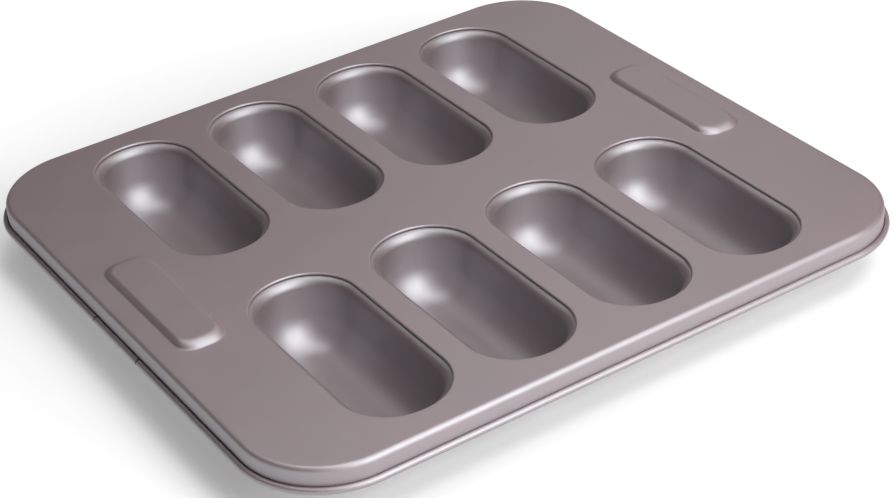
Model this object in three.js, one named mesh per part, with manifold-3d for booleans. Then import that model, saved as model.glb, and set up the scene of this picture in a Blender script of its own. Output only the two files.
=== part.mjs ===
// Mini loaf pan in coated sheet steel. A deck frame, pressed from one sheet with two raised grips
// and a skirt rolled over a wire, carries drawn loaf cups whose flanges lie under its holes.
// Millimetres, +Z up. The pan stands on its cup floors at z = 0, centred on the origin, with its
// rows of cups along X. "Out" and "in" are in plan; a section is a list of [out, z] pairs.
import * as THREE from 'three';
import { mergeVertices } from 'three/addons/utils/BufferGeometryUtils.js';
import Module from 'manifold-3d';

// Loaf cups
const COLUMNS = 4;
const ROWS = 2;
const MOUTH_WIDTH = 49.5; // hole in the deck over a cup, along X
const MOUTH_LENGTH = 117; // the same hole along Y
const MOUTH_CORNER = 24.1;
const CUP_SHEET = 0.6;
const CUP_DEPTH = 31; // deck top to the floor inside the cup
const LIP_REVEAL = 0.4; // flat of the flange that shows inside the hole
const LIP_INSIDE_RADIUS = 2.4; // hidden face of the rounded lip
const WALL_DRAFT = 6; // degrees
const FLOOR_FILLET = 15; // inside the cup, from wall to floor
const LEAST_FLOOR = 6; // flat of the floor that the fillet always leaves, across the cup
const FLANGE_WIDTH = 3.5; // under the deck, beyond the hole

// Deck around the cups
const CUP_SPACING = 5.5; // between the flanges of neighbours in a row
const ROW_SPACING = 26.6; // between the flanges of the two rows
const SIDE_LAND = 11; // from the flanges to the skirt, along the long sides
const GRIP_LAND = 11.15; // on either side of a grip, across the short ends
const FRAME_SHEET = 0.6;
const DECK_CORNER = 39.6; // outside of the skirt, in plan

// Skirt and wired rim
const BEND_INSIDE_RADIUS = 1.8; // from deck to skirt
const SKIRT_HEIGHT = 7.5; // straight run from the bend to the middle of the wire
const WIRE_DIAMETER = 1.5;
const WIRE_CLEARANCE = 0.2; // between the wire and the sheet rolled over it
const ROLL_MOUTH = 0.3; // between the free edge of the roll and the skirt
const SLIT_WIDTH = 0.9; // cuts across the roll on the left short side
const SLIT_SPACING = 41;

// Grips pressed up in the short ends
const GRIP_WIDTH = 23.3;
const GRIP_LENGTH = 82.5;
const GRIP_CORNER = 9;
const GRIP_RISE = 2.5;
const GRIP_SIDE_SLOPE = 3.1; // plan width of the sloped long sides
const GRIP_END_SLOPE = 5.8; // plan length of the sloped ends

// Facets
const MOUTH_STEPS = 6; // per quarter turn
const DECK_STEPS = 8;
const GRIP_STEPS = 5;
const GRIP_RINGS = 4;
const LIP_STEPS = 3;
const FILLET_STEPS = 4;
const BEND_STEPS = 3;
const ROLL_STEPS = 11;
const WIRE_SIDES = 10;
const LEAST_RADIUS = 0.2;
const LEAST_FLAT = 0.05;
const CUT_OVERLAP = 1; // how far a cutting body runs past what it cuts

// Sizes that follow from the ones above
const CUP_PITCH = MOUTH_WIDTH + 2 * FLANGE_WIDTH + CUP_SPACING;
const ROW_PITCH = MOUTH_LENGTH + 2 * FLANGE_WIDTH + ROW_SPACING;
const END_LAND = GRIP_WIDTH + 2 * GRIP_LAND;
const DECK_LENGTH = (COLUMNS - 1) * CUP_PITCH + MOUTH_WIDTH + 2 * END_LAND;
const DECK_WIDTH = (ROWS - 1) * ROW_PITCH + MOUTH_LENGTH + 2 * (FLANGE_WIDTH + SIDE_LAND);
const DECK_TOP = CUP_DEPTH + CUP_SHEET;
const DECK_UNDERSIDE = DECK_TOP - FRAME_SHEET;
const BEND_RADIUS = BEND_INSIDE_RADIUS + FRAME_SHEET;
const ROLL_INSIDE_RADIUS = WIRE_DIAMETER / 2 + WIRE_CLEARANCE;
const ROLL_RADIUS = ROLL_INSIDE_RADIUS + FRAME_SHEET;
const RIM_Z = DECK_TOP - BEND_RADIUS - SKIRT_HEIGHT;
const GRIP_X = DECK_LENGTH / 2 - END_LAND / 2;

const wasm = await Module();
wasm.setup();

// Rounded rectangles in plan
function outline(width, length, corner) {
  return { halfX: width / 2, halfY: length / 2, corner };
}

function grow(shape, out) {
  return { halfX: shape.halfX + out, halfY: shape.halfY + out, corner: shape.corner + out };
}

// Points of an outline at one height, counter-clockwise from above, with an arc at each corner
function ring(shape, z, steps) {
  const widest = Math.min(shape.halfX, shape.halfY) - LEAST_FLAT;
  const radius = Math.min(Math.max(shape.corner, LEAST_RADIUS), widest);
  const quarters = [[1, 1], [-1, 1], [-1, -1], [1, -1]];
  return quarters.flatMap(([sideX, sideY], quarter) => (
    Array.from({ length: steps + 1 }, (_, step) => {
      const angle = (quarter + step / steps) * Math.PI / 2;
      const x = sideX * (shape.halfX - radius) + radius * Math.cos(angle);
      const y = sideY * (shape.halfY - radius) + radius * Math.sin(angle);
      return new THREE.Vector3(x, y, z);
    })
  ));
}

// Section points on an arc, by angle in radians from straight out towards straight up
function arc(centreOut, centreZ, radius, start, end, steps) {
  return Array.from({ length: steps + 1 }, (_, step) => {
    const angle = start + (end - start) * step / steps;
    return [centreOut + radius * Math.cos(angle), centreZ + radius * Math.sin(angle)];
  });
}

// Closed body through rings of as many points, listed from its lower face, round its outside, to
// its upper face. A looped body joins its last ring to its first, and the others have flat ends.
function body(rings, looped = false) {
  const corners = [];
  const bands = looped ? rings.length : rings.length - 1;
  for (let k = 0; k < bands; k += 1) {
    const from = rings[k];
    const to = rings[(k + 1) % rings.length];
    from.forEach((point, i) => {
      const next = (i + 1) % from.length;
      corners.push(point, from[next], to[next], point, to[next], to[i]);
    });
  }
  if (!looped) {
    const [low, high] = [rings[0], rings[rings.length - 1]];
    for (let i = 1; i < low.length - 1; i += 1) {
      corners.push(low[0], low[i + 1], low[i], high[0], high[i], high[i + 1]);
    }
  }
  return mergeVertices(new THREE.BufferGeometry().setFromPoints(corners));
}

function sweep(section, shape, steps, looped = false) {
  return body(section.map(([out, z]) => ring(grow(shape, out), z, steps)), looped);
}

// Solids for cutting and joining
function solid(geometry) {
  const vertProperties = new Float32Array(geometry.attributes.position.array);
  const triVerts = new Uint32Array(geometry.index.array);
  return new wasm.Manifold(new wasm.Mesh({ numProp: 3, vertProperties, triVerts }));
}

function geometryOf(manifold) {
  const { vertProperties, triVerts } = manifold.getMesh();
  const geometry = new THREE.BufferGeometry();
  geometry.setAttribute('position', new THREE.BufferAttribute(vertProperties, 3));
  geometry.setIndex(new THREE.BufferAttribute(triVerts, 1));
  return geometry;
}

// Middles of the mouths, with the name of each cup
function cupPlaces() {
  const places = [];
  for (let row = 0; row < ROWS; row += 1) {
    for (let column = 0; column < COLUMNS; column += 1) {
      places.push({
        name: `loaf_cup_row${row + 1}_${column + 1}`,
        x: (column - (COLUMNS - 1) / 2) * CUP_PITCH,
        y: (row - (ROWS - 1) / 2) * ROW_PITCH,
      });
    }
  }
  return places;
}

const mouth = outline(MOUTH_WIDTH, MOUTH_LENGTH, MOUTH_CORNER);
const deck = outline(DECK_LENGTH, DECK_WIDTH, DECK_CORNER);

// Loaf cup: flange, rounded lip, drafted wall, floor fillet and floor, one sheet thick. Its section
// is measured out from the mouth, and its two faces share the centres of the lip and the fillet.
function loafCup() {
  const draft = THREE.MathUtils.degToRad(WALL_DRAFT);
  const lipRadius = LIP_INSIDE_RADIUS + CUP_SHEET;
  const lipOut = -LIP_REVEAL;
  const lipZ = DECK_UNDERSIDE - lipRadius;
  const wallTopOut = lipOut - lipRadius * Math.cos(draft);
  const wallTopHeight = lipZ + lipRadius * Math.sin(draft) - CUP_SHEET;
  const halfFloorRoom = Math.min(mouth.halfX, mouth.halfY) - LEAST_FLOOR / 2;
  const filletReach = Math.cos(draft) - (1 - Math.sin(draft)) * Math.tan(draft);
  const fillet = Math.min(
    FLOOR_FILLET,
    wallTopHeight / (1 - Math.sin(draft)),
    (halfFloorRoom + wallTopOut - wallTopHeight * Math.tan(draft)) / filletReach,
  );
  const wallHeight = wallTopHeight - fillet * (1 - Math.sin(draft));
  const filletOut = wallTopOut - wallHeight * Math.tan(draft) - fillet * Math.cos(draft);
  const filletZ = CUP_SHEET + fillet;
  const half = Math.PI / 2;
  const face = (lip, floor) => [
    ...arc(filletOut, filletZ, floor, -half, -draft, FILLET_STEPS),
    ...arc(lipOut, lipZ, lip, Math.PI - draft, half, LIP_STEPS),
    [FLANGE_WIDTH, lipZ + lip],
  ];
  const underside = face(LIP_INSIDE_RADIUS, fillet + CUP_SHEET);
  const inside = face(lipRadius, fillet).reverse();
  return sweep([...underside, ...inside], mouth, MOUTH_STEPS);
}

// Deck, bend, skirt and roll as one sheet, measured out from the skirt's outer face
function frameSheet() {
  const bendZ = DECK_TOP - BEND_RADIUS;
  const half = Math.PI / 2;
  const freeEdge = Math.acos((ROLL_MOUTH - ROLL_INSIDE_RADIUS) / ROLL_RADIUS);
  const rollStart = -Math.PI;
  const section = [
    ...arc(-BEND_RADIUS, bendZ, BEND_INSIDE_RADIUS, half, 0, BEND_STEPS),
    ...arc(ROLL_INSIDE_RADIUS, RIM_Z, ROLL_RADIUS, rollStart, freeEdge, ROLL_STEPS),
    ...arc(ROLL_INSIDE_RADIUS, RIM_Z, ROLL_INSIDE_RADIUS, freeEdge, rollStart, ROLL_STEPS),
    ...arc(-BEND_RADIUS, bendZ, BEND_RADIUS, 0, half, BEND_STEPS),
  ];
  return sweep(section, deck, DECK_STEPS);
}

// One face of a grip as a mound over the deck, lowered by a depth and standing on a foot
function gripMound(depth, foot) {
  const rings = [ring(outline(GRIP_WIDTH, GRIP_LENGTH, GRIP_CORNER), foot, GRIP_STEPS)];
  for (let k = 0; k <= GRIP_RINGS; k += 1) {
    const share = k / GRIP_RINGS;
    const width = GRIP_WIDTH - 2 * GRIP_SIDE_SLOPE * share;
    const length = GRIP_LENGTH - 2 * GRIP_END_SLOPE * share;
    const corner = GRIP_CORNER - GRIP_SIDE_SLOPE * share;
    const z = DECK_TOP - depth + GRIP_RISE * (1 - Math.cos(Math.PI * share)) / 2;
    rings.push(ring(outline(width, length, corner), z, GRIP_STEPS));
  }
  return body(rings);
}

function slitCutter() {
  const depth = 2 * ROLL_RADIUS + CUT_OVERLAP;
  const height = 2 * (ROLL_RADIUS + CUT_OVERLAP);
  const geometry = new THREE.BoxGeometry(depth, SLIT_WIDTH, height);
  geometry.deleteAttribute('normal');
  geometry.deleteAttribute('uv');
  const x = -DECK_LENGTH / 2 - ROLL_MOUTH / 2 - depth / 2;
  return mergeVertices(geometry).translate(x, 0, RIM_Z);
}

function deckFrame() {
  const holeFoot = DECK_UNDERSIDE - CUT_OVERLAP;
  const holeSection = [[0, holeFoot], [0, DECK_TOP + CUT_OVERLAP]];
  const holeCutter = solid(sweep(holeSection, mouth, MOUTH_STEPS));
  const gripFace = solid(gripMound(0, DECK_TOP - FRAME_SHEET / 2));
  const gripHollow = solid(gripMound(FRAME_SHEET, DECK_UNDERSIDE - CUT_OVERLAP));
  const slit = solid(slitCutter());
  let frame = solid(frameSheet());
  [-GRIP_X, GRIP_X].forEach((x) => {
    frame = frame.add(gripFace.translate(x, 0, 0)).subtract(gripHollow.translate(x, 0, 0));
  });
  cupPlaces().forEach(({ x, y }) => {
    frame = frame.subtract(holeCutter.translate(x, y, 0));
  });
  [-SLIT_SPACING / 2, SLIT_SPACING / 2].forEach((y) => {
    frame = frame.subtract(slit.translate(0, y, 0));
  });
  return geometryOf(frame);
}

function rimWire() {
  const turn = 2 * Math.PI;
  const section = arc(ROLL_INSIDE_RADIUS, RIM_Z, WIRE_DIAMETER / 2, 0, turn, WIRE_SIDES);
  return sweep(section.slice(0, WIRE_SIDES), deck, DECK_STEPS, true);
}

// Finishes
function coatedSteel() {
  return new THREE.MeshStandardMaterial({ color: 0x918486, roughness: 0.42, metalness: 0.6 });
}

function bareWire() {
  return new THREE.MeshStandardMaterial({ color: 0x8d8c8b, roughness: 0.35, metalness: 0.9 });
}

function part(name, geometry, material) {
  const mesh = new THREE.Mesh(geometry, material);
  mesh.name = name;
  return mesh;
}

const pan = new THREE.Group();
pan.add(part('deck_frame', deckFrame(), coatedSteel()));
pan.add(part('rim_wire', rimWire(), bareWire()));
const cupGeometry = loafCup();
cupPlaces().forEach(({ name, x, y }) => {
  const cup = part(name, cupGeometry, coatedSteel());
  cup.position.set(x, y, 0);
  pan.add(cup);
});

export default pan;
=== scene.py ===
# Looks of a mini loaf pan: smooth pressed sheet with a satin non-stick coating, in a plain studio.
# Metres, in the frame of the solid model: rows of cups along X, +Z up, the pan standing on z = 0.
import math

import bmesh
import bpy
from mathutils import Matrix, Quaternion, Vector


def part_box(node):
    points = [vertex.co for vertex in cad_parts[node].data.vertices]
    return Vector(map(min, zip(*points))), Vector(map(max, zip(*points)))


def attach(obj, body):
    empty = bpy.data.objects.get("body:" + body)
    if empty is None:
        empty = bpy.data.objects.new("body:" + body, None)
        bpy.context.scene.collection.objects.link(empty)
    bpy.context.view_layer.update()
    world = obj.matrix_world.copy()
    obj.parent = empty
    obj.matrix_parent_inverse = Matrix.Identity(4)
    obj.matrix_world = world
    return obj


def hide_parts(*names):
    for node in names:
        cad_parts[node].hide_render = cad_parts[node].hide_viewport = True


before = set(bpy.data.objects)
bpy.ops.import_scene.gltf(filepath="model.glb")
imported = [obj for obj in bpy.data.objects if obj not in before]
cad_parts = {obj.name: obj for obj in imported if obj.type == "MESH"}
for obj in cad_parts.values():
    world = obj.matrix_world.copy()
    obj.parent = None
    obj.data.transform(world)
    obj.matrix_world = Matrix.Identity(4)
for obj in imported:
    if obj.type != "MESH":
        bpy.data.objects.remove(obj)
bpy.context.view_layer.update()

# Sheet and loaf cups
SHEET = 0.0006
FLANGE_WIDTH = 0.0035  # under the deck, beyond the mouth
MOUTH_CORNER = 0.0241
LIP_START = 0.001  # where the lip begins to curve down, out from the mouth
LIP_RADIUS = 0.0046
LIP_DROP = 0.00075  # from the deck's underside to the lip, which leaves a hairline gap
JOGGLE_START = 0.0026  # where the flange begins to step down from the deck, out from the mouth
JOGGLE_END = 0.0017
WALL_DRAFT = math.radians(6)
FLOOR_FILLET = 0.015

# Deck, skirt and wired rim
MOUTH_ROUND = 0.0008  # bend of the deck down into the mouths
MOUTH_DEPTH = 0.001  # from the deck's top to the cut edge in the mouths
MOUTH_BURR = 0.0001  # rounding of that edge
DECK_CORNER = 0.0396
BEND_RADIUS = 0.0024
SKIRT_HEIGHT = 0.0075
WIRE_RADIUS = 0.00075
WIRE_CLEARANCE = 0.0002
ROLL_MOUTH = 0.0003  # between the free edge of the roll and the skirt
SLIT_WIDTH = 0.0009
SLIT_SPACING = 0.041
SLIT_START = math.radians(215)  # where the slits begin, round the roll from its inner side

# Grips pressed up in the short ends
GRIP_WIDTH = 0.0233
GRIP_LENGTH = 0.0825
GRIP_CORNER = 0.009
GRIP_RISE = 0.0025
GRIP_SIDE_SLOPE = 0.0031
GRIP_END_SLOPE = 0.0058
GRIP_FOOT = 0.12  # share of the slopes that curves up from the deck

# Mesh fineness
FLAT_MARGIN = 0.0005  # level strip that keeps the shading of flat areas even
CORNER_STEPS = 24
BEND_STEPS = 8
ROLL_STEPS = 30
EDGE_STEPS = 7
BURR_STEPS = 3
LIP_STEPS = 12
FILLET_STEPS = 18
GRIP_STEPS = 12
WIRE_SIDES = 16

# Camera, as found from the photograph's 894 x 498 frame
CAMERA_AT = Vector((-0.43347, -0.71449, 0.53726))
CAMERA_AIM = Vector((-0.02089, -0.04203, 0.03113))
CAMERA_ROLL = math.radians(-4.167)
CAMERA_LENS = 85.2
SENSOR_WIDTH = 36

# Coating: tones from dark to light, each with its place in the clouds, then sheen and roughness
FRAME_TONES = [(0.3, (0.108, 0.037, 0.036)), (0.7, (0.123, 0.045, 0.044))]
# The cups' tones are a darker copy of the frame's, painted shade for the inside of the cups
CUP_SHADED_TONES = [(0.3, (0.064, 0.012, 0.01)), (0.7, (0.074, 0.016, 0.014))]
SHEEN_IOR = 4.3
SHEEN_TINT = (0.92, 0.95, 1, 1)
COATING_ROUGHNESS = (0.54, 0.6)

# Wire of the rim
WIRE_TONES = [(0.3, (0.24, 0.24, 0.235)), (0.7, (0.33, 0.33, 0.32))]
WIRE_ROUGHNESS = (0.3, 0.45)

# Studio
WHITE = (1, 1, 1, 1)
LAMP_AIM = Vector((0, 0, 0.03))
LAMP_DISTANCE = 1.2
LAMPS = {  # azimuth in degrees from +X towards +Y, elevation, width and height of the softbox, power
    "key_lamp": (298, 60, 0.6, 0.4, 6.4),
    "front_lamp": (282, 31, 0.6, 0.6, 10.8),
    "top_lamp": (0, 86, 0.5, 0.5, 4),
    "left_lamp": (135, 70, 0.5, 0.5, 1.5),
    "back_lamp": (48, 34, 0.5, 0.5, 0.85),
}
WORLD_LIGHT = 0.01
FLOOR_SIZE = 40
FLOOR_Z = -0.0002  # just under the pan
FLOOR_BOUNCE = (0.15, 0.15, 0.15, 1)  # tone for the light that it throws back
FLOOR_PALE = (0.7, 0.7, 0.7, 1)  # tone as seen
FLOOR_GLOW = 0.3  # near the pan, growing to 1 further out
GLOW_START = 0.2  # distance from the pan's middle at which it begins to grow
GLOW_FULL = 0.7
BACKDROP_RADIUS = 19
BACKDROP_HEIGHT = 1.7
BACKDROP_SIDES = 64

# Sizes that follow from the solid model
cup_nodes = sorted(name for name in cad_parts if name.startswith("loaf_cup"))
cup_low, cup_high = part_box(cup_nodes[0])
deck_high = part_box("deck_frame")[1]
cup_size = cup_high - cup_low
DECK_UNDERSIDE = cup_high.z
DECK_TOP = DECK_UNDERSIDE + SHEET
ROLL_INSIDE_RADIUS = WIRE_RADIUS + WIRE_CLEARANCE
ROLL_RADIUS = ROLL_INSIDE_RADIUS + SHEET
ROLL_REACH = ROLL_INSIDE_RADIUS + ROLL_RADIUS
BEND_Z = DECK_TOP - BEND_RADIUS
RIM_Z = BEND_Z - SKIRT_HEIGHT
MOUTH = (cup_size.x / 2 - FLANGE_WIDTH, cup_size.y / 2 - FLANGE_WIDTH, MOUTH_CORNER)
DECK = (deck_high.x - ROLL_REACH, deck_high.y - ROLL_REACH, DECK_CORNER)
end_land = DECK[0] - max(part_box(name)[1].x for name in cup_nodes) + FLANGE_WIDTH
GRIP_X = DECK[0] - end_land / 2


def ring(shape, out, z, steps=CORNER_STEPS, cuts=()):
    """Points of a rounded rectangle grown by a distance, counter-clockwise from above.
    Cuts are extra places along Y on its left side."""
    half_x, half_y, corner = (size + out for size in shape)
    points = []
    for quarter, (side_x, side_y) in enumerate(((1, 1), (-1, 1), (-1, -1), (1, -1))):
        for step in range(steps + 1):
            angle = (quarter + step / steps) * math.pi / 2
            x = side_x * (half_x - corner) + corner * math.cos(angle)
            y = side_y * (half_y - corner) + corner * math.sin(angle)
            points.append(Vector((x, y, z)))
        if quarter == 1:
            points += [Vector((-half_x, y, z)) for y in sorted(cuts, reverse=True)]
    return points


def arc(centre_out, centre_z, radius, start, end, steps):
    """Section points on an arc, by angle from straight out towards straight up"""
    angles = [start + (end - start) * step / steps for step in range(steps + 1)]
    return [(centre_out + radius * math.cos(a), centre_z + radius * math.sin(a)) for a in angles]


class Sheet:
    """Closed surface of a sheet-metal piece, made of rings of points joined by bands"""

    def __init__(self):
        self.mesh = bmesh.new()

    def ring(self, points):
        return [self.mesh.verts.new(point) for point in points]

    def band(self, first, second, gaps=()):
        for i in range(len(first)):
            if i not in gaps:
                j = (i + 1) % len(first)
                self.mesh.faces.new((first[i], first[j], second[j], second[i]))

    def bands(self, rings):
        for first, second in zip(rings, rings[1:]):
            self.band(first, second)

    def cut(self, *corners):
        """Face across the sheet, with sharp edges"""
        for edge in self.mesh.faces.new(corners).edges:
            edge.smooth = False

    def fill(self, *loops):
        """Flat faces inside the first loop and outside the others"""
        pairs = [(loop[i - 1], loop[i]) for loop in loops for i in range(len(loop))]
        edges = [self.mesh.edges.get(pair) for pair in pairs]
        bmesh.ops.triangle_fill(self.mesh, edges=edges, use_beauty=True, normal=(0, 0, 1))

    def piece(self, name, material, node):
        """Makes the finished object, which stands for a node of the solid model"""
        bmesh.ops.recalc_face_normals(self.mesh, faces=self.mesh.faces)
        for face in self.mesh.faces:
            face.smooth = True
        data = bpy.data.meshes.new(name)
        self.mesh.to_mesh(data)
        self.mesh.free()
        data.materials.append(material)
        thing = bpy.data.objects.new(name, data)
        bpy.context.scene.collection.objects.link(thing)
        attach(thing, "root")
        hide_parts(node)


def shifted(points, x, y):
    return [point + Vector((x, y, 0)) for point in points]


def cup_place(name):
    low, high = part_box(name)
    return (low.x + high.x) / 2, (low.y + high.y) / 2


def cup_sections():
    """Inside and underside of a cup, from the flange's outer edge to its floor"""
    lip_z = DECK_UNDERSIDE - LIP_DROP - LIP_RADIUS
    wall_top_out = LIP_START - LIP_RADIUS * math.cos(WALL_DRAFT)
    wall_top_z = lip_z + LIP_RADIUS * math.sin(WALL_DRAFT)
    fillet_z = SHEET + FLOOR_FILLET
    wall_foot_z = fillet_z - FLOOR_FILLET * math.sin(WALL_DRAFT)
    wall_foot_out = wall_top_out - (wall_top_z - wall_foot_z) * math.tan(WALL_DRAFT)
    fillet_out = wall_foot_out - FLOOR_FILLET * math.cos(WALL_DRAFT)

    def face(inset):
        lip = LIP_RADIUS - inset
        fillet = FLOOR_FILLET + inset
        flange = [
            (FLANGE_WIDTH, DECK_UNDERSIDE - inset),
            (JOGGLE_START, DECK_UNDERSIDE - inset),
            (JOGGLE_END, DECK_UNDERSIDE - LIP_DROP - inset),
        ]
        shoulder = arc(LIP_START, lip_z, lip, math.pi / 2, math.pi - WALL_DRAFT, LIP_STEPS)
        bowl = arc(fillet_out, fillet_z, fillet, -WALL_DRAFT, -math.pi / 2, FILLET_STEPS)
        floor = [(fillet_out - FLAT_MARGIN, fillet_z - fillet)]
        return flange + shoulder + bowl + floor

    return face(0), face(SHEET)


def loaf_cup(node, material):
    sheet = Sheet()
    place = cup_place(node)
    faces = []
    for section in cup_sections():
        rings = [sheet.ring(shifted(ring(MOUTH, out, z), *place)) for out, z in section]
        sheet.bands(rings)
        sheet.fill(rings[-1])
        faces.append(rings)
    sheet.band(faces[0][0], faces[1][0])
    sheet.piece(node.replace("loaf_cup", "cup_skin"), material, node)


def add_mouth(sheet, place):
    """Turned-down edge of one mouth; returns its rings in the deck's top and underside"""
    bend = MOUTH_ROUND
    burr = MOUTH_BURR
    turn = math.pi / 2
    low = DECK_TOP - MOUTH_DEPTH + burr
    section = [
        (bend + FLAT_MARGIN, DECK_TOP),
        *arc(bend, DECK_TOP - bend, bend, turn, 2 * turn, EDGE_STEPS),
        *arc(burr, low, burr, 2 * turn, 3 * turn, BURR_STEPS),
        *arc(SHEET - burr, low, burr, 3 * turn, 4 * turn, BURR_STEPS),
        *arc(bend, DECK_TOP - bend, bend - SHEET, 2 * turn, turn, BURR_STEPS),
        (bend + FLAT_MARGIN, DECK_UNDERSIDE),
    ]
    rings = [sheet.ring(shifted(ring(MOUTH, out, z), *place)) for out, z in section]
    sheet.bands(rings)
    return rings[0], rings[-1]


def grip_profile(share):
    """Share of the rise at a share of the slope: a tight foot, then one long rounded shoulder"""
    if share < GRIP_FOOT:
        return share ** 2 / GRIP_FOOT
    return 1 - (1 - share) ** 2 / (1 - GRIP_FOOT)


def add_grip(sheet, x, level):
    """One face of a grip; returns its ring in the deck"""
    base = (GRIP_WIDTH / 2, GRIP_LENGTH / 2, GRIP_CORNER)
    outlines = [ring(base, FLAT_MARGIN, level, GRIP_STEPS)]
    for step in range(GRIP_STEPS + 1):
        share = step / GRIP_STEPS
        side = GRIP_SIDE_SLOPE * share
        shape = (base[0] - side, base[1] - GRIP_END_SLOPE * share, base[2] - side)
        rise = GRIP_RISE * grip_profile(share)
        outlines.append(ring(shape, 0, level + rise, GRIP_STEPS))
    outlines.append(ring(shape, -FLAT_MARGIN, level + GRIP_RISE, GRIP_STEPS))
    rings = [sheet.ring(shifted(points, x, 0)) for points in outlines]
    sheet.bands(rings)
    sheet.fill(rings[-1])
    return rings[0]


def rim_sections():
    """Upper and lower face of the sheet from the deck, over the bend and skirt, round the roll,
    and the place in them where the slits begin"""
    free_edge = 2 * math.pi + math.acos((ROLL_MOUTH - ROLL_INSIDE_RADIUS) / ROLL_RADIUS)

    def face(bend, roll):
        level = (-BEND_RADIUS - FLAT_MARGIN, BEND_Z + bend)
        over = arc(-BEND_RADIUS, BEND_Z, bend, math.pi / 2, 0, BEND_STEPS)
        round_wire = arc(ROLL_INSIDE_RADIUS, RIM_Z, roll, math.pi, free_edge, ROLL_STEPS)
        return [level, *over, *round_wire]

    upper = face(BEND_RADIUS, ROLL_INSIDE_RADIUS)
    lower = face(BEND_RADIUS - SHEET, ROLL_RADIUS)
    slit_step = math.ceil((SLIT_START - math.pi) / (free_edge - math.pi) * ROLL_STEPS)
    roll_start = len(upper) - (ROLL_STEPS + 1)
    return upper, lower, roll_start + slit_step


def add_rim(sheet):
    """Bend, skirt and slit roll; returns their rings in the deck's top and underside"""
    upper, lower, slit_from = rim_sections()
    middles = (SLIT_SPACING / 2, -SLIT_SPACING / 2)
    cuts = [middle + side * SLIT_WIDTH / 2 for middle in middles for side in (1, -1)]
    first_cut = 2 * (CORNER_STEPS + 1)  # the cuts follow the points of two corners
    slits = [first_cut, first_cut + 2]
    top = [sheet.ring(ring(DECK, out, z, cuts=cuts)) for out, z in upper]
    bottom = [sheet.ring(ring(DECK, out, z, cuts=cuts)) for out, z in lower]
    for rings in (top, bottom):
        for k in range(len(rings) - 1):
            sheet.band(rings[k], rings[k + 1], slits if k >= slit_from else ())
    sheet.band(top[-1], bottom[-1], slits)
    for near in slits:
        far = near + 1
        sheet.cut(top[slit_from][near], bottom[slit_from][near], bottom[slit_from][far], top[slit_from][far])
        for i in (near, far):
            for k in range(slit_from, len(top) - 1):
                sheet.cut(top[k][i], top[k + 1][i], bottom[k + 1][i], bottom[k][i])
    return top[0], bottom[0]


def deck_frame(material):
    sheet = Sheet()
    loops = [add_rim(sheet)]
    loops += [add_mouth(sheet, cup_place(node)) for node in cup_nodes]
    for x in (-GRIP_X, GRIP_X):
        loops.append([add_grip(sheet, x, level) for level in (DECK_TOP, DECK_UNDERSIDE)])
    for side in zip(*loops):
        sheet.fill(*side)
    sheet.piece("deck_skin", material, "deck_frame")


def rim_wire(material):
    sheet = Sheet()
    section = arc(ROLL_INSIDE_RADIUS, RIM_Z, WIRE_RADIUS, 0, 2 * math.pi, WIRE_SIDES)[:-1]
    rings = [sheet.ring(ring(DECK, out, z)) for out, z in section]
    sheet.bands(rings + rings[:1])
    sheet.piece("wire_skin", material, "rim_wire")


class Finish:
    """Node material with a principled shader and textures placed in the pan's own frame"""

    def __init__(self, name, **settings):
        self.material = bpy.data.materials.new(name)
        self.material.use_nodes = True
        self.nodes = self.material.node_tree.nodes
        self.links = self.material.node_tree.links
        self.shader = self.nodes["Principled BSDF"]
        self.place = self.nodes.new("ShaderNodeTexCoord").outputs["Object"]
        for socket, value in settings.items():
            self.shader.inputs[socket.replace("_", " ")].default_value = value

    def noise(self, scale, detail):
        node = self.nodes.new("ShaderNodeTexNoise")
        node.inputs["Scale"].default_value = scale
        node.inputs["Detail"].default_value = detail
        self.links.new(self.place, node.inputs["Vector"])
        return node.outputs["Fac"]

    def ramp(self, factor, stops):
        """Colour between two stops"""
        node = self.nodes.new("ShaderNodeValToRGB")
        for element, (position, colour) in zip(node.color_ramp.elements, stops):
            element.position = position
            element.color = (*colour, 1)
        self.links.new(factor, node.inputs["Fac"])
        return node.outputs["Color"]

    def spread(self, factor, low, high):
        node = self.nodes.new("ShaderNodeMapRange")
        node.inputs["To Min"].default_value = low
        node.inputs["To Max"].default_value = high
        self.links.new(factor, node.inputs["Value"])
        return node.outputs["Result"]

    def bump(self, height, strength, distance):
        node = self.nodes.new("ShaderNodeBump")
        node.inputs["Strength"].default_value = strength
        node.inputs["Distance"].default_value = distance
        self.links.new(height, node.inputs["Height"])
        self.links.new(node.outputs["Normal"], self.shader.inputs["Normal"])

    def set(self, socket, output):
        self.links.new(output, self.shader.inputs[socket])


def coating(name, tones):
    """Satin mauve-grey non-stick coating: faint clouds of tone, fine grain, even roughness"""
    finish = Finish(name, IOR=SHEEN_IOR, Specular_Tint=SHEEN_TINT)
    clouds = finish.noise(scale=22, detail=3)
    finish.set("Base Color", finish.ramp(clouds, tones))
    finish.set("Roughness", finish.spread(finish.noise(scale=60, detail=2), *COATING_ROUGHNESS))
    finish.bump(finish.noise(scale=2600, detail=2), strength=0.08, distance=0.00005)
    return finish.material


def wire_steel(name):
    """Drawn steel wire: fine specks of tone and roughness on plain grey metal"""
    finish = Finish(name, Metallic=1.0)
    specks = finish.noise(scale=900, detail=3)
    finish.set("Base Color", finish.ramp(specks, WIRE_TONES))
    finish.set("Roughness", finish.spread(specks, *WIRE_ROUGHNESS))
    finish.bump(specks, strength=0.1, distance=0.00002)
    return finish.material


def seen_rays(tree):
    """Light Path output that is 1 for camera, glossy and transmission rays"""
    path = tree.nodes.new("ShaderNodeLightPath")
    total = path.outputs["Is Camera Ray"]
    for other in ("Is Glossy Ray", "Is Transmission Ray"):
        join = tree.nodes.new("ShaderNodeMath")
        join.operation = "MAXIMUM"
        tree.links.new(total, join.inputs[0])
        tree.links.new(path.outputs[other], join.inputs[1])
        total = join.outputs["Value"]
    return total


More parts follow.
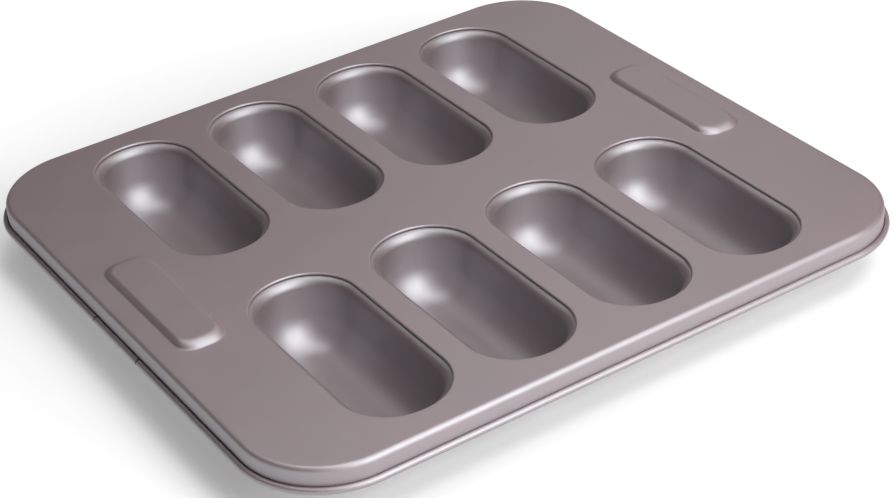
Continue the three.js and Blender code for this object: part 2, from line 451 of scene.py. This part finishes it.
def floor_paper():
    """Paper that looks pale, throws little light back and keeps the pan's shadow"""
    material = bpy.data.materials.new("floor_paper")
    material.use_nodes = True
    tree = material.node_tree
    shader = tree.nodes["Principled BSDF"]
    shader.inputs["Roughness"].default_value = 1
    shader.inputs["Specular IOR Level"].default_value = 0
    shader.inputs["Emission Color"].default_value = WHITE
    seen = seen_rays(tree)
    tone = tree.nodes.new("ShaderNodeMix")
    tone.data_type = "RGBA"
    tone.inputs["A"].default_value = FLOOR_BOUNCE
    tone.inputs["B"].default_value = FLOOR_PALE
    tree.links.new(seen, tone.inputs["Factor"])
    tree.links.new(tone.outputs["Result"], shader.inputs["Base Color"])
    place = tree.nodes.new("ShaderNodeTexCoord")
    distance = tree.nodes.new("ShaderNodeVectorMath")
    distance.operation = "LENGTH"
    tree.links.new(place.outputs["Object"], distance.inputs["Vector"])
    glow = tree.nodes.new("ShaderNodeMapRange")
    glow.inputs["From Min"].default_value = GLOW_START
    glow.inputs["From Max"].default_value = GLOW_FULL
    glow.inputs["To Min"].default_value = FLOOR_GLOW
    tree.links.new(distance.outputs["Value"], glow.inputs["Value"])
    strength = tree.nodes.new("ShaderNodeMath")
    strength.operation = "MULTIPLY"
    tree.links.new(seen, strength.inputs[0])
    tree.links.new(glow.outputs["Result"], strength.inputs[1])
    tree.links.new(strength.outputs["Value"], shader.inputs["Emission Strength"])
    return material


def add_stage(name, points, faces, material):
    data = bpy.data.meshes.new(name)
    data.from_pydata(points, [], faces)
    data.materials.append(material)
    thing = bpy.data.objects.new(name, data)
    bpy.context.scene.collection.objects.link(thing)


def add_floor(paper):
    half = FLOOR_SIZE / 2
    corners = [(-half, -half), (half, -half), (half, half), (-half, half)]
    add_stage("floor", [(x, y, FLOOR_Z) for x, y in corners], [range(4)], paper)


def add_backdrop(paper):
    """Low wall far round the floor, which keeps the background pale from low down"""
    sides = range(BACKDROP_SIDES)
    turns = [2 * math.pi * side / BACKDROP_SIDES for side in sides]
    plan = [(BACKDROP_RADIUS * math.cos(turn), BACKDROP_RADIUS * math.sin(turn)) for turn in turns]
    points = [(x, y, z) for z in (FLOOR_Z, BACKDROP_HEIGHT) for x, y in plan]
    after = [(side + 1) % BACKDROP_SIDES for side in sides]
    faces = [(i, j, j + BACKDROP_SIDES, i + BACKDROP_SIDES) for i, j in zip(sides, after)]
    add_stage("backdrop", points, faces, paper)


def add_world():
    world = bpy.data.worlds.new("studio")
    bpy.context.scene.world = world
    world.use_nodes = True
    background = world.node_tree.nodes["Background"]
    background.inputs["Color"].default_value = WHITE
    background.inputs["Strength"].default_value = WORLD_LIGHT


def add_lamp(name, azimuth, elevation, width, height, power):
    """Softbox that faces the pan"""
    data = bpy.data.lights.new(name, "AREA")
    data.shape = "RECTANGLE"
    data.size = width
    data.size_y = height
    data.energy = power
    lamp = bpy.data.objects.new(name, data)
    turn = math.radians(azimuth)
    lift = math.radians(elevation)
    level = Vector((math.cos(turn), math.sin(turn), 0))
    towards = level * math.cos(lift) + Vector((0, 0, math.sin(lift)))
    lamp.location = LAMP_AIM + towards * LAMP_DISTANCE
    lamp.rotation_mode = "QUATERNION"
    lamp.rotation_quaternion = towards.to_track_quat("Z", "Y")
    bpy.context.scene.collection.objects.link(lamp)


def add_camera():
    data = bpy.data.cameras.new("camera")
    data.lens = CAMERA_LENS
    data.sensor_width = SENSOR_WIDTH
    camera = bpy.data.objects.new("camera", data)
    ahead = CAMERA_AIM - CAMERA_AT
    camera.location = CAMERA_AT
    camera.rotation_mode = "QUATERNION"
    camera.rotation_quaternion = ahead.to_track_quat("-Z", "Y") @ Quaternion((0, 0, 1), CAMERA_ROLL)
    bpy.context.scene.collection.objects.link(camera)
    bpy.context.scene.camera = camera


bpy.context.scene.view_settings.view_transform = "Standard"
add_camera()
add_world()
studio_paper = floor_paper()
add_floor(studio_paper)
add_backdrop(studio_paper)
for lamp_name, setting in LAMPS.items():
    add_lamp(lamp_name, *setting)

deck_frame(coating("frame_satin", FRAME_TONES))
rim_wire(wire_steel("wire_drawn"))
# The cups take the darker copy of the coating: painted shade inside the cups
cup_shaded_finish = coating("cup_satin_painted_shade", CUP_SHADED_TONES)
for cup_node in cup_nodes:
    loaf_cup(cup_node, cup_shaded_finish)
